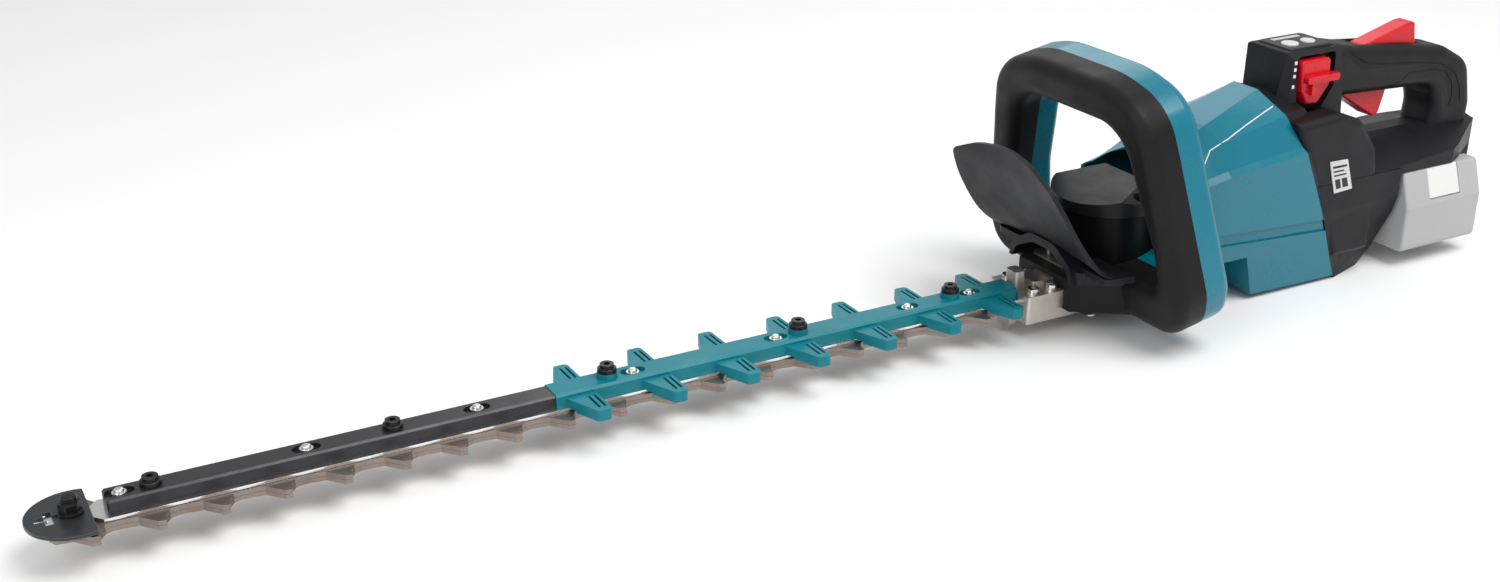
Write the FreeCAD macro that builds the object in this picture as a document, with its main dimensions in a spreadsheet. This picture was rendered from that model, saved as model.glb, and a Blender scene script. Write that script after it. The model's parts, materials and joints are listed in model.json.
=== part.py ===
import FreeCAD, Part
import Sketcher
import math
import os

# Cordless hedge trimmer with a front loop handle and a swivelling rear handle.
# Frame: +X towards the blade tip, +Y to the operator's left, +Z up, in millimetres.
# The origin is the middle of the bounding box's underside.

V = FreeCAD.Vector
Y_AXIS = V(0, 1, 0)

SIZES = {
    # cutter: two toothed blades under a guide strip and a guide bar
    "tooth_pitch": 35, "tooth_rows": 18, "first_tooth_x": 521.5, "tooth_reach": 25,
    "tooth_root": 13, "blade_thickness": 2.8, "lower_blade_z": 20, "upper_blade_z": 23,
    "blade_stroke": 8.75, "blade_nose_x": 545, "blade_shoulder_x": -92, "tang_half_width": 9,
    "strip_z": 26, "strip_thickness": 2, "strip_half_width": 12, "strip_rear_x": -140,
    "bar_z": 28, "bar_thickness": 8.4, "bar_half_width": 8.75, "bar_front_x": 513,
    "bar_rear_x": 246.6, "bolt_radius": 2.5, "bolt_pitch": 105, "front_bolt_x": 504.8,
    "bolt_head_radius": 4.1, "bolt_slot_length": 17, "bolt_slot_width": 8.8,
    "knob_radius": 6.2, "front_knob_x": 487.6, "knob_pitch": 140,
    # tooth guard over the rear half of the cutter
    "guard_thickness": 9, "guard_half_width": 9.75, "guard_rear_x": -107,
    "finger_pitch": 52.5, "finger_rows": 7, "first_finger_x": 224.8, "finger_reach": 35.6,
    "finger_half_width": 4.7, "finger_root": 16, "finger_height": 6, "boss_radius": 6.6, "boss_height": 3.6,
    # tip plate
    "tip_radius": 27, "tip_centre_x": 529, "tip_rear_x": 521, "tip_thickness": 2,
    "tip_bolt_x": 531,
    # gear case and drive
    "crank_x": -220, "motor_x": -192, "gear_module": 1, "pinion_teeth": 14, "gear_teeth": 42,
    "gear_z": 28.5, "gear_thickness": 7, "cam_radius": 12.5, "cam_thickness": 2.5,
    "crank_shaft_radius": 4, "motor_shaft_radius": 3, "bearing_radius": 8,
    "case_front_x": -108, "case_step_x": -150, "case_rear_x": -275, "case_half_width": 31,
    "clamp_half_width": 22.5, "case_low_z": 16, "case_top_z": 43, "case_wall": 4,
    "case_cover_thickness": 3.5,
    # motor
    "motor_case_radius": 38, "motor_case_wall": 2.5, "motor_case_z": 43.2,
    "motor_case_top_z": 86, "stator_radius": 35, "stator_bore": 18.6, "stator_length": 26,
    "rotor_radius": 17.8, "rotor_length": 28, "fan_radius": 31, "cover_half_width": 41,
    "cover_rear_x": -206, "cover_step_z": 95,
    # front loop handle, leaning forward
    "loop_lean": 10.7, "loop_origin_x": -197.8, "loop_origin_z": 16, "loop_front_depth": 25,
    "loop_back_depth": 23, "loop_height": 180, "base_front_x": -139, "base_rear_x": -188,
    "base_top_z": 42, "base_low_z": 19, "base_front_half": 30, "base_rear_half": 64,
    # hand guard
    "shield_wall": 4.5, "shield_top_z": 139, "shield_foot_z": 54, "hood_half_width": 36,
    "hood_top_z": 66,
    # swivel joint between the front housing and the rear handle
    "waist_x": -262, "seam_tilt": 25, "seam_x": -353, "seam_z": 75, "seam_gap": 0.6, "shell_wall": 3,
    "spigot_radius": 30, "spigot_bore": 26, "flange_radius": 34, "flange_thickness": 2.5,
    "ring_outer": 44, "ring_inner": 37, "ring_thickness": 2,
    # rear handle
    "grip_half_width": 18, "block_half_width": 23.5, "bulge_half_width": 49,
    "deck_half_width": 48, "deck_low_z": 77.6, "rear_end_x": -556,
    "skin_thickness": 2,
    "trigger_half_width": 8, "trigger_pivot_x": -409, "trigger_pivot_z": 150,
    "lockoff_pivot_x": -427, "lockoff_pivot_z": 163, "pivot_pin_radius": 2,
    # battery pack
    "pack_front_x": -446, "pack_rear_x": -528, "pack_half_length": 57, "pack_low_z": 13.5,
    "pack_body_z": 64, "pack_top_z": 77, "running_gap": 0.3,
}

doc = FreeCAD.newDocument("hedge_trimmer")
sheet = doc.addObject("Spreadsheet::Sheet", "Sizes")
for row, (alias, value) in enumerate(SIZES.items(), start=1):
    sheet.set("A%d" % row, alias)
    sheet.set("B%d" % row, str(value))
    sheet.setAlias("B%d" % row, alias)
doc.recompute()

nodes = []


def size(alias):
    """A driving dimension, read from the sheet."""
    return float(sheet.get(alias))


def keep(item, label):
    """Names an object as one finished sub-part."""
    item.Label = label
    nodes.append(item)
    return item


def feature(label, shape):
    """A sub-part whose shape no single sketch or primitive gives."""
    if shape.ShapeType == "Compound" and len(shape.Solids) == 1:
        shape = shape.Solids[0]
    item = doc.addObject("Part::Feature", label)
    item.Shape = shape
    return keep(item, label)


# ---------------------------------------------------------------- outlines and solids

def corner_arc(before, corner, after, radius):
    """The tangent arc that rounds one corner, as (start, middle, end)."""
    back = (before - corner).normalize()
    ahead = (after - corner).normalize()
    half = back.getAngle(ahead) / 2
    reach = radius / math.tan(half)
    start = corner + back * reach
    end = corner + ahead * reach
    bisector = (back + ahead).normalize()
    centre = corner + bisector * (radius / math.sin(half))
    return start, centre - bisector * radius, end


def outline_curves(corners):
    """Lines and arcs of a closed outline whose corners are (a, b) or (a, b, radius)."""
    points = [V(c[0], c[1], 0) for c in corners]
    stretches = []
    for index, corner in enumerate(corners):
        here = points[index]
        if len(corner) == 3 and corner[2] > 0:
            following = points[(index + 1) % len(points)]
            stretches.append(corner_arc(points[index - 1], here, following, corner[2]))
        else:
            stretches.append((here, None, here))
    curves = []
    for index, (start, middle, end) in enumerate(stretches):
        if middle is not None:
            curves.append(Part.Arc(start, middle, end))
        following = stretches[(index + 1) % len(stretches)][0]
        if end.distanceToPoint(following) > 1e-6:
            curves.append(Part.LineSegment(end, following))
    return curves


def mirrored(half):
    """A closed outline from its right-hand half, listed from bottom to top."""
    left = [(-c[0],) + tuple(c[1:]) for c in reversed(half)]
    return list(half) + left


PLANES = {"XY": V(0, 0, 1), "XZ": V(0, 1, 0), "YZ": V(1, 0, 0)}


def flat_face(corners, plane, level=0.0):
    """A face from an outline: XY at a height, XZ at a Y, or YZ at an X."""
    wire = Part.Wire([curve.toShape() for curve in outline_curves(corners)])
    face = Part.Face(wire)
    if plane == "XZ":
        face.rotate(V(0, 0, 0), V(1, 0, 0), 90)
    if plane == "YZ":
        face.rotate(V(0, 0, 0), V(1, 0, 0), 90)
        face.rotate(V(0, 0, 0), V(0, 0, 1), 90)
    face.translate(PLANES[plane] * level)
    return face


def prism(corners, plane, low, high):
    """An outline drawn out square to its plane, from one level to another."""
    return flat_face(corners, plane, low).extrude(PLANES[plane] * (high - low))


def box(low, high):
    return Part.makeBox(high[0] - low[0], high[1] - low[1], high[2] - low[2], V(*low))


def rod(radius, start, end):
    start, end = V(*start), V(*end)
    return Part.makeCylinder(radius, start.distanceToPoint(end), start, end - start)


def ring(outer, inner, start, end):
    return rod(outer, start, end).cut(rod(inner, start, end))


def hexagon(radius, centre, low, high):
    corners = [(centre[0] + radius * math.cos(math.radians(60 * k)),
                centre[1] + radius * math.sin(math.radians(60 * k))) for k in range(6)]
    return prism(corners, "XY", low, high)


def soften(shape, radius, wanted):
    """Rounds the edges that the test picks."""
    edges = [edge for edge in shape.Edges if wanted(edge)]
    return shape.makeFillet(radius, edges) if edges else shape


def on_level(axis, level):
    """A test for edges that lie wholly on one level of an axis."""
    def wanted(edge):
        bound = edge.BoundBox
        low = getattr(bound, axis + "Min")
        high = getattr(bound, axis + "Max")
        return abs(low - level) < 1e-4 and abs(high - level) < 1e-4
    return wanted


def slab(corners, half_width, radius):
    """A side profile drawn out to both sides of the middle plane, its long edges rounded."""
    solid = prism(corners, "XZ", -half_width, half_width)
    for level in (-half_width, half_width):
        solid = soften(solid, radius, on_level("Y", level))
    return solid


def fuse(shapes):
    joined = shapes[0].multiFuse(shapes[1:]) if len(shapes) > 1 else shapes[0]
    return joined.removeSplitter()


def halves(shape):
    """The left and right halves of a shell that splits on the middle plane."""
    reach = 700
    left = shape.common(box((-reach, 0, -reach), (reach, reach, reach)))
    right = shape.common(box((-reach, -reach, -reach), (reach, 0, reach)))
    return left, right


def group(shapes):
    return Part.makeCompound(shapes)


# ---------------------------------------------------------------- parametric objects

def origin_plane(body, role):
    for item in body.Origin.OriginFeatures:
        if item.Role == role:
            return item


def new_sketch(body, name, outlines, plane="XY_Plane"):
    sketch = body.newObject("Sketcher::SketchObject", name)
    sketch.AttachmentSupport = [(origin_plane(body, plane), "")]
    sketch.MapMode = "FlatFace"
    for corners in outlines:
        sketch.addGeometry(outline_curves(corners), False)
    return sketch


def add_circles(sketch, centres, radius_alias):
    """Round holes whose radius is a cell of the sheet."""
    for x, y in centres:
        index = sketch.addGeometry(Part.Circle(V(x, y, 0), V(0, 0, 1), size(radius_alias)), False)
        number = sketch.addConstraint(Sketcher.Constraint("Radius", index, size(radius_alias)))
        sketch.setExpression("Constraints[%d]" % number, "Sizes." + radius_alias)


def plate(label, outlines, thickness_alias, level_alias, circles=(), circle_alias=None):
    """A flat piece: a sketch on the body's XY plane, padded and lifted to its level."""
    body = doc.addObject("PartDesign::Body", label)
    sketch = new_sketch(body, label + "_sketch", outlines)
    if circle_alias:
        add_circles(sketch, circles, circle_alias)
    pad = body.newObject("PartDesign::Pad", label + "_pad")
    pad.Profile = sketch
    pad.setExpression("Length", "Sizes." + thickness_alias)
    body.setExpression("Placement.Base.z", "Sizes." + level_alias)
    return body


def pocket(body, outlines, depth, level_alias):
    """Recesses cut down from a plate's top face."""
    sketch = new_sketch(body, body.Name + "_recess", outlines)
    sketch.setExpression(".AttachmentOffset.Base.z", "Sizes." + level_alias)
    cut = body.newObject("PartDesign::Pocket", body.Name + "_pocket")
    cut.Profile = sketch
    cut.Length = depth
    return cut


def cylinder(name, radius_alias, height, x, y, z):
    item = doc.addObject("Part::Cylinder", name)
    item.setExpression("Radius", "Sizes." + radius_alias)
    item.Height = height
    item.Placement = FreeCAD.Placement(V(x, y, z), FreeCAD.Rotation())
    return item


def tube(label, outer_alias, inner_alias, height, x, z):
    """A round ring with an upright axis on the middle plane."""
    outer = cylinder(label + "_outer", outer_alias, height, x, 0, z)
    inner = cylinder(label + "_inner", inner_alias, height, x, 0, z)
    cut = doc.addObject("Part::Cut", label)
    cut.Base = outer
    cut.Tool = inner
    return keep(cut, label)


# ---------------------------------------------------------------- places along the cutter

def row_of(first, pitch, count):
    return [first - pitch * index for index in range(count)]


TOOTH_TIPS = row_of(size("first_tooth_x"), size("tooth_pitch"), int(size("tooth_rows")))
FINGERS = row_of(size("first_finger_x"), size("finger_pitch"), int(size("finger_rows")))
BAR_BOLTS = row_of(size("front_bolt_x"), size("bolt_pitch"), 6)
BAR_BOLTS.append(BAR_BOLTS[-1] - size("bolt_pitch") / 2)
KNOBS = row_of(size("front_knob_x"), size("knob_pitch"), 4) + [-56.0]
BOLT_HOLES = [(x, 0) for x in BAR_BOLTS]


def slot(centre_x, length, width):
    """A round-ended slot along X."""
    radius = width / 2 - 0.001
    low, high = centre_x - length / 2, centre_x + length / 2
    return [(low, -width / 2, radius), (high, -width / 2, radius),
            (high, width / 2, radius), (low, width / 2, radius)]


# ---------------------------------------------------------------- cutter

def tooth(tip_x, side):
    """One tooth: a long slanting leading edge and a short hooked trailing edge."""
    reach, root = size("tooth_reach"), size("tooth_root")
    return [(tip_x + 21, root * side), (tip_x + 12, (root + 1.2) * side),
            (tip_x + 3.2, (reach - 0.6) * side), (tip_x - 0.8, reach * side),
            (tip_x - 1.6, (root + 6) * side), (tip_x - 5, (root + 1.4) * side),
            (tip_x - 9, root * side)]


def yoke_rear_outline():
    """The rear frame of a blade, in which its eccentric turns."""
    crank = size("crank_x")
    clear = size("cam_radius") + size("running_gap") + 0.2
    window_x = clear + 2 * size("blade_stroke")
    window_y = clear + size("blade_stroke")
    rim = 3.5
    return crank, window_x, window_y, rim


def blade(label, level_alias):
    """A blade with teeth on both edges, slots for the bolts and a drive yoke."""
    crank, window_x, window_y, rim = yoke_rear_outline()
    shoulder, tang = size("blade_shoulder_x"), size("tang_half_width")
    root, nose = size("tooth_root"), size("blade_nose_x")
    near = [point for tip in TOOTH_TIPS for point in tooth(tip, 1)]
    far = [point for tip in reversed(TOOTH_TIPS) for point in reversed(tooth(tip, -1))]
    yoke_front, yoke_rear = crank + window_x + rim, crank - window_x - rim
    side = window_y + rim
    outline = [(nose, 8)] + near
    outline += [(shoulder, root), (shoulder - 4, tang), (yoke_front, tang),
                (yoke_front, side, 4), (yoke_rear, side, 8), (yoke_rear, -side, 8),
                (yoke_front, -side, 4), (yoke_front, -tang), (shoulder - 4, -tang),
                (shoulder, -root)]
    outline += far + [(nose, -8)]
    window = [(crank + window_x, window_y, 5), (crank - window_x, window_y, 5),
              (crank - window_x, -window_y, 5), (crank + window_x, -window_y, 5)]
    width = 2 * (size("bolt_radius") + size("running_gap"))
    length = width + 2 * size("blade_stroke") + 1
    slots = [slot(x, length, width) for x in BAR_BOLTS + [size("tip_bolt_x")]]
    return keep(plate(label, [outline, window] + slots, "blade_thickness", level_alias), label)


def guide_strip():
    """The bright strip between the blades and the bar, forked at its front end."""
    front, rear = 549, size("strip_rear_x")
    half = size("strip_half_width")
    outline = [(rear, -half), (516, -half), (521, -6), (front, -6, 1), (front, -2, 1),
               (front - 6, -1.6, 1), (front - 6, 1.6, 1), (front, 2, 1), (front, 6, 1),
               (521, 6), (516, half), (rear, half)]
    holes = BOLT_HOLES + [(size("tip_bolt_x"), 0)]
    return keep(plate("guide_strip", [outline], "strip_thickness", "strip_z",
                      holes, "bolt_radius"), "guide_strip")


def guide_bar():
    """The bar over the front half of the cutter, with a recess round each bolt."""
    front, rear, half = size("bar_front_x"), size("bar_rear_x"), size("bar_half_width")
    outline = [(rear, -half), (front, -half, 1.5), (front, half, 1.5), (rear, half)]
    holes = [(x, 0) for x in BAR_BOLTS if x > rear]
    body = plate("guide_bar", [outline], "bar_thickness", "bar_z", holes, "bolt_radius")
    recesses = [slot(x, size("bolt_slot_length"), size("bolt_slot_width")) for x, _ in holes]
    cut = pocket(body, recesses, 2.6, "bar_thickness")
    chamfer = body.newObject("PartDesign::Chamfer", "guide_bar_chamfer")
    doc.recompute()
    top = size("bar_thickness")
    wanted = on_level("Z", top)
    names = ["Edge%d" % number for number, edge in enumerate(cut.Shape.Edges, start=1)
             if wanted(edge) and edge.Length > 60]
    chamfer.Base = (cut, names)
    chamfer.Size = 1.2
    body.Tip = chamfer
    return keep(body, "guide_bar")


def finger(x, side):
    """One guard finger: a straight rear edge, a slanting front edge and two grooves on top."""
    half, reach = size("finger_half_width"), size("finger_reach")
    low, top = size("bar_z"), size("bar_z") + size("finger_height")
    root, drop = size("guard_half_width") - 1, size("strip_z") + 0.5

    def front_at(y):
        return x + half + (size("finger_root") - half) * (reach - y) / (reach - root)

    def bar(inner, level):
        corners = [(x - half, inner * side), (front_at(inner), inner * side),
                   (x + half, reach * side, half - 1.6), (x - half, reach * side, half - 1.6)]
        return prism(corners, "XY", level, top)

    solid = bar(root, low).fuse(bar(root + 9, drop))
    for centre in (x - 1.9, x + 1.9):
        groove = [(centre - 0.9, 13 * side, 0.7), (centre + 0.9, 13 * side, 0.7),
                  (centre + 0.9, (reach - 4.5) * side, 0.7),
                  (centre - 0.9, (reach - 4.5) * side, 0.7)]
        solid = solid.cut(prism(groove, "XY", top - 3.2, top + 1))
    return solid


def tooth_guard():
    """The bar with seven pairs of fingers that covers the rear half of the cutter."""
    half, low = size("guard_half_width"), size("bar_z")
    top = low + size("guard_thickness")
    front, rear = size("bar_rear_x") - 0.2, size("guard_rear_x")
    spine = prism([(rear, -half), (front, -half), (front, half), (rear, half)], "XY", low, top)
    spine = spine.makeChamfer(1.5, [e for e in spine.Edges
                                    if on_level("Z", top)(e) and e.Length > 100])
    fingers = [finger(x, side) for x in FINGERS for side in (1, -1)]
    bosses = [rod(size("boss_radius"), (x, 0, top - 0.5), (x, 0, top + size("boss_height")))
              for x in KNOBS if x < front]
    solid = fuse([spine] + fingers + bosses)
    for x in BAR_BOLTS:
        if x < front:
            recess = slot(x, size("bolt_slot_length"), size("bolt_slot_width"))
            solid = solid.cut(prism(recess, "XY", top - 3, top + 1))
            solid = solid.cut(rod(size("bolt_radius"), (x, 0, low - 1), (x, 0, top + 1)))
    for x in KNOBS:
        if x < front:
            solid = solid.cut(rod(2.2, (x, 0, low + 3), (x, 0, top + 5)))
    return feature("tooth_guard", solid)


def cutter_fasteners():
    """Domed bolts through the bar, their nuts under the blades, and the black studs."""
    radius, gap = size("bolt_radius"), size("running_gap")
    floor = size("lower_blade_z") - gap
    bolts, nuts = [], []
    for x in BAR_BOLTS:
        seat = size("bar_z") + (size("bar_thickness") - 2.6 if x > size("bar_rear_x")
                                else size("guard_thickness") - 3)
        shank = rod(radius, (x, 0, floor - 4.5), (x, 0, seat))
        head = rod(size("bolt_head_radius"), (x, 0, seat), (x, 0, seat + 2.6))
        dome = rod(2.9, (x, 0, seat + 2.6), (x, 0, seat + 4.8))
        dome = soften(dome, 1.6, on_level("Z", seat + 4.8))
        bolts.append(fuse([shank, head, dome]))
        nuts.append(hexagon(5, (x, 0), floor - 4, floor).cut(
            rod(radius, (x, 0, 0), (x, 0, 30))))
    feature("bar_bolts", group(bolts))
    feature("bar_nuts", group(nuts))
    studs = []
    for x in KNOBS:
        on_bar = x > size("bar_rear_x")
        seat = size("bar_z") + (size("bar_thickness") if on_bar
                                else size("guard_thickness") + size("boss_height"))
        foot = rod(size("knob_radius"), (x, 0, seat), (x, 0, seat + 3.2))
        foot = soften(foot, 0.8, on_level("Z", seat + 3.2))
        cap = rod(4.6, (x, 0, seat + 3.2), (x, 0, seat + 5.6))
        stem = rod(2.1, (x, 0, seat - 3), (x, 0, seat + 1))
        stud = fuse([foot, cap, stem]).cut(hexagon(2.4, (x, 0), seat + 3.4, seat + 6))
        studs.append(stud if not on_bar else stud.cut(rod(3, (x, 0, seat - 5), (x, 0, seat))))
    feature("bar_studs", group(studs))


def tip_plate():
    """The D-shaped nose plate with a cross-shaped window, and its bolt and nut."""
    centre, radius, rear = size("tip_centre_x"), size("tip_radius"), size("tip_rear_x")
    level, thick = size("bar_z"), size("tip_thickness")
    disc = rod(radius, (centre, 0, level), (centre, 0, level + thick))
    disc = disc.common(box((rear, -radius, level), (centre + radius, radius, level + thick)))
    disc = soften(disc, 0.6, lambda e: e.Length > 60)
    for length, width in ((15, 4.4), (4.4, 15)):
        x = centre + 14
        disc = disc.cut(box((x - length / 2, -width / 2, level - 1),
                            (x + length / 2, width / 2, level + 5)))
    bolt_x = size("tip_bolt_x")
    disc = disc.cut(rod(size("bolt_radius") + 0.05, (bolt_x, 0, 0), (bolt_x, 0, 60)))
    feature("tip_plate", disc)
    seat = level + thick
    under = size("lower_blade_z") - size("running_gap")
    flange = rod(7, (bolt_x, 0, seat), (bolt_x, 0, seat + 2))
    cap = soften(rod(4.4, (bolt_x, 0, seat + 2), (bolt_x, 0, seat + 11.5)), 1.2,
                 on_level("Z", seat + 11.5))
    shank = rod(size("bolt_radius"), (bolt_x, 0, under - 4.5), (bolt_x, 0, seat + 1))
    feature("tip_bolt", fuse([flange, hexagon(6.4, (bolt_x, 0), seat + 2, seat + 7.5), cap,
                              shank]))
    feature("tip_nut", hexagon(5.4, (bolt_x, 0), under - 4, under).cut(
        rod(size("bolt_radius"), (bolt_x, 0, 0), (bolt_x, 0, 60))))


# ---------------------------------------------------------------- gear case and drive

def gear_case():
    """The aluminium case: a clamp block in front and the gear chamber behind."""
    front, step, rear = size("case_front_x"), size("case_step_x"), size("case_rear_x")
    half, clamp = size("case_half_width"), size("clamp_half_width")
    low, top, wall = size("case_low_z"), size("case_top_z"), size("case_wall")
    chamber = prism([(rear, -half, 9), (step, -half, 5), (step, half, 5), (rear, half, 9)],
                    "XY", low, top)
    block = prism([(step - 4, -clamp), (front, -clamp, 2), (front, clamp, 2),
                   (step - 4, clamp)], "XY", 12.5, 33)
    tongue = prism([(front - 10, -7, 2), (front - 1, -7, 2), (front - 1, 5, 2),
                    (front - 10, 5, 2)], "XY", 32, 46)
    ledge = prism([(step - 2, -10, 3), (front - 14, -10, 3), (front - 14, 10, 3),
                   (step - 2, 10, 3)], "XY", 32, 38)
    tab = prism([(-8, 3, 5), (6, 3, 5), (6, 16), (-8, 16)], "YZ", front - 3, front + 3)
    solid = fuse([chamber, block, tongue, ledge, tab])
    inner = half - wall
    hollow = prism([(rear + 5, -inner, 6), (-168, -inner, 4), (-168, inner, 4),
                    (rear + 5, inner, 6)], "XY", 0, 40)
    solid = solid.cut(hollow)
    tang = size("tang_half_width") + 1
    floor = size("lower_blade_z") - 0.4
    solid = solid.cut(box((-172, -tang, floor), (front + 9, tang, size("strip_z"))))
    solid = solid.cut(box((-172, -tang, size("strip_z") - 1), (-168, tang, 29)))
    strip = size("strip_half_width")
    solid = solid.cut(box((size("strip_rear_x"), -strip, size("strip_z")),
                          (front + 9, strip, size("bar_z"))))
    crank, motor = size("crank_x"), size("motor_x")
    outer = size("bearing_radius")
    boss = ring(outer + 3, outer, (crank, 0, 36), (crank, 0, 40.5))
    roof = rod(size("motor_shaft_radius") + 0.6, (motor, 0, 36), (motor, 0, 46))
    solid = solid.cut(roof)
    for x in (-118, -134):
        solid = solid.cut(rod(2.6, (x, 15, 10), (x, 15, 34)))
        solid = solid.cut(rod(2.6, (x, -15, 10), (x, -15, 34)))
    return feature("gear_case", solid.fuse(boss).removeSplitter())


def case_cover():
    """The plate that closes the gear chamber from below, with its bearing seat."""
    rear, step = size("case_rear_x"), size("case_step_x")
    half = size("case_half_width")
    outline = [(rear, -half, 9), (step - 4.2, -half, 5), (step - 4.2, half, 5),
               (rear, half, 9)]
    thick = size("case_cover_thickness")
    top = size("case_low_z")
    solid = prism(outline, "XY", top - thick, top)
    solid = soften(solid, 1.2, on_level("Z", top - thick))
    crank = size("crank_x")
    seat = rod(size("bearing_radius"), (crank, 0, top - 2.6), (crank, 0, top + 1))
    solid = solid.cut(seat)
    feature("case_cover", solid)


def case_screws():
    screws = []
    for x in (-270, -215, -162):
        for side in (-1, 1):
            y = side * (size("case_half_width") - 4.2)
            low = size("case_low_z") - size("case_cover_thickness")
            head = rod(3.4, (x, y, low - 1.6), (x, y, low))
            screws.append(head.cut(hexagon(1.5, (x, y), low - 2, low - 0.6)))
    feature("case_screws", group(screws))
    clamps = []
    for x in (-118, -134):
        for y in (-15, 15):
            shank = rod(2.5, (x, y, 14), (x, y, 33))
            head = rod(4.2, (x, y, 33), (x, y, 36.5))
            head = head.cut(hexagon(2.2, (x, y), 34.5, 37))
            clamps.append(fuse([shank, head]))
    feature("clamp_screws", group(clamps))


def involute_outline(teeth, module, clearance_angle, phase, centre_x):
    """A spur gear's outline: involute flanks with a short addendum."""
    pitch_radius = teeth * module / 2
    base = pitch_radius * math.cos(math.radians(20))
    tip, foot = pitch_radius + 0.8 * module, pitch_radius - 1.1 * module
    involute_at_pitch = math.tan(math.radians(20)) - math.radians(20)
    half_tooth = math.pi / (2 * teeth) - clearance_angle

    def flank(radius):
        if radius <= base:
            return half_tooth + involute_at_pitch
        angle = math.acos(base / radius)
        return half_tooth + involute_at_pitch - (math.tan(angle) - angle)

    start = max(base, foot)
    radii = [start + (tip - start) * step / 4 for step in range(5)]
    if foot < start:
        radii = [foot] + radii
    corners = []
    for number in range(teeth):
        middle = phase + 2 * math.pi * number / teeth
        side = [(radius, flank(radius)) for radius in radii]
        for radius, half in side:
            angle = middle - half
            corners.append((centre_x + radius * math.cos(angle), radius * math.sin(angle)))
        for radius, half in reversed(side):
            angle = middle + half
            corners.append((centre_x + radius * math.cos(angle), radius * math.sin(angle)))
    return corners


def drive():
    """The crank gear with its two eccentrics, the motor pinion and the bearings."""
    crank, motor = size("crank_x"), size("motor_x")
    module, low = size("gear_module"), size("gear_z")
    top = low + size("gear_thickness")
    gear_teeth, pinion_teeth = int(size("gear_teeth")), int(size("pinion_teeth"))
    gear = prism(involute_outline(gear_teeth, module, 0.004, 0, crank), "XY", low, top)
    gear = gear.cut(ring(17, 9, (crank, 0, top - 1.6), (crank, 0, top)))
    shaft_radius = size("crank_shaft_radius")
    shaft = rod(shaft_radius, (crank, 0, 13.6), (crank, 0, 39.4))
    stroke, cam = size("blade_stroke"), size("cam_radius")
    levels = ((size("lower_blade_z") + 0.15, -stroke), (size("upper_blade_z") + 0.15, stroke))
    cams = [rod(cam, (crank, y, z), (crank, y, z + size("cam_thickness"))) for z, y in levels]
    hub = rod(8, (crank, 0, 25.7), (crank, 0, low))
    web = rod(7.5, (crank, 0, 22.5), (crank, 0, 23.3))
    feature("crank_gear", fuse([gear, shaft, hub, web] + cams))
    outline = involute_outline(pinion_teeth, module, 0.012, math.pi / pinion_teeth + math.pi,
                               motor)
    pinion = prism(outline, "XY", low - 0.5, top + 0.5)
    feature("motor_pinion", pinion.cut(rod(size("motor_shaft_radius"), (motor, 0, 0),
                                           (motor, 0, 60))))
    tube("crank_bearing_lower", "bearing_radius", "crank_shaft_radius", 2.5, crank, 13.5)
    tube("crank_bearing_upper", "bearing_radius", "crank_shaft_radius", 3.8, crank, 36.1)


def motor_parts():
    """The brushless motor: case, stator, rotor on its shaft, fan and bearings."""
    x, radius = size("motor_x"), size("motor_case_radius")
    low, top, wall = size("motor_case_z"), size("motor_case_top_z"), size("motor_case_wall")
    shaft_radius = size("motor_shaft_radius")
    cup = rod(radius, (x, 0, low), (x, 0, top))
    cup = soften(cup, 3, on_level("Z", low))
    cup = cup.cut(rod(radius - wall, (x, 0, low + 6), (x, 0, top + 1)))
    cup = cup.cut(rod(7, (x, 0, low + 1.8), (x, 0, low + 7)))
    cup = cup.cut(rod(shaft_radius + 0.6, (x, 0, low - 1), (x, 0, low + 7)))
    feature("motor_case", cup)
    stator_low = low + 8
    stator = ring(size("stator_radius"), size("stator_bore"), (x, 0, stator_low),
                  (x, 0, stator_low + size("stator_length")))
    for number in range(6):
        angle = math.radians(60 * number)
        cx, cy = x + 26 * math.cos(angle), 26 * math.sin(angle)
        stator = stator.cut(rod(4.2, (cx, cy, 0), (cx, cy, 100)))
    feature("motor_stator", stator)
    core = rod(size("rotor_radius"), (x, 0, stator_low - 1),
               (x, 0, stator_low - 1 + size("rotor_length")))
    feature("motor_rotor", core.cut(rod(shaft_radius, (x, 0, 0), (x, 0, 120))))
    shaft = cylinder("motor_shaft", "motor_shaft_radius", 64.4, x, 0, 27)
    keep(shaft, "motor_shaft")
    fan_low = stator_low + size("rotor_length") + 0.6
    hub = ring(9, shaft_radius, (x, 0, fan_low), (x, 0, fan_low + 3.5))
    disc = ring(size("fan_radius"), shaft_radius, (x, 0, fan_low), (x, 0, fan_low + 0.8))
    blades = []
    for number in range(9):
        vane = box((x + 10, -0.5, fan_low + 0.4), (x + size("fan_radius") - 1, 0.5,
                                                   fan_low + 4.2))
        vane.rotate(V(x, 0, 0), V(0, 0, 1), 40 * number)
        blades.append(vane)
    feature("motor_fan", fuse([disc, hub] + blades))
    bearing = doc.addObject("Part::Cut", "motor_bearing_lower")
    bearing.Base = doc.addObject("Part::Cylinder", "motor_bearing_lower_outer")
    bearing.Base.Radius = 7
    bearing.Tool = cylinder("motor_bearing_lower_inner", "motor_shaft_radius", 3.6, x, 0, 0)
    bearing.Base.Height = 3.6
    bearing.Base.Placement.Base = V(x, 0, low + 1.8)
    bearing.Tool.Placement.Base = V(x, 0, low + 1.8)
    keep(bearing, "motor_bearing_lower")
    upper = ring(6, shaft_radius, (x, 0, 88.2), (x, 0, 91.4))
    feature("motor_bearing_upper", upper)


def cover_envelope(gap):
    """The motor cover's outer block, grown by a gap: a round foot and a shorter top."""
    x, half, rear = size("motor_x"), size("cover_half_width") + gap, size("cover_rear_x") - gap
    low, step = size("motor_case_top_z") - gap, size("cover_step_z") + gap
    disc = rod(half, (x, 0, low), (x, 0, 125))
    behind = box((x - 60, -60, step), (rear, 60, 126))
    return disc.cut(behind)


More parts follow.
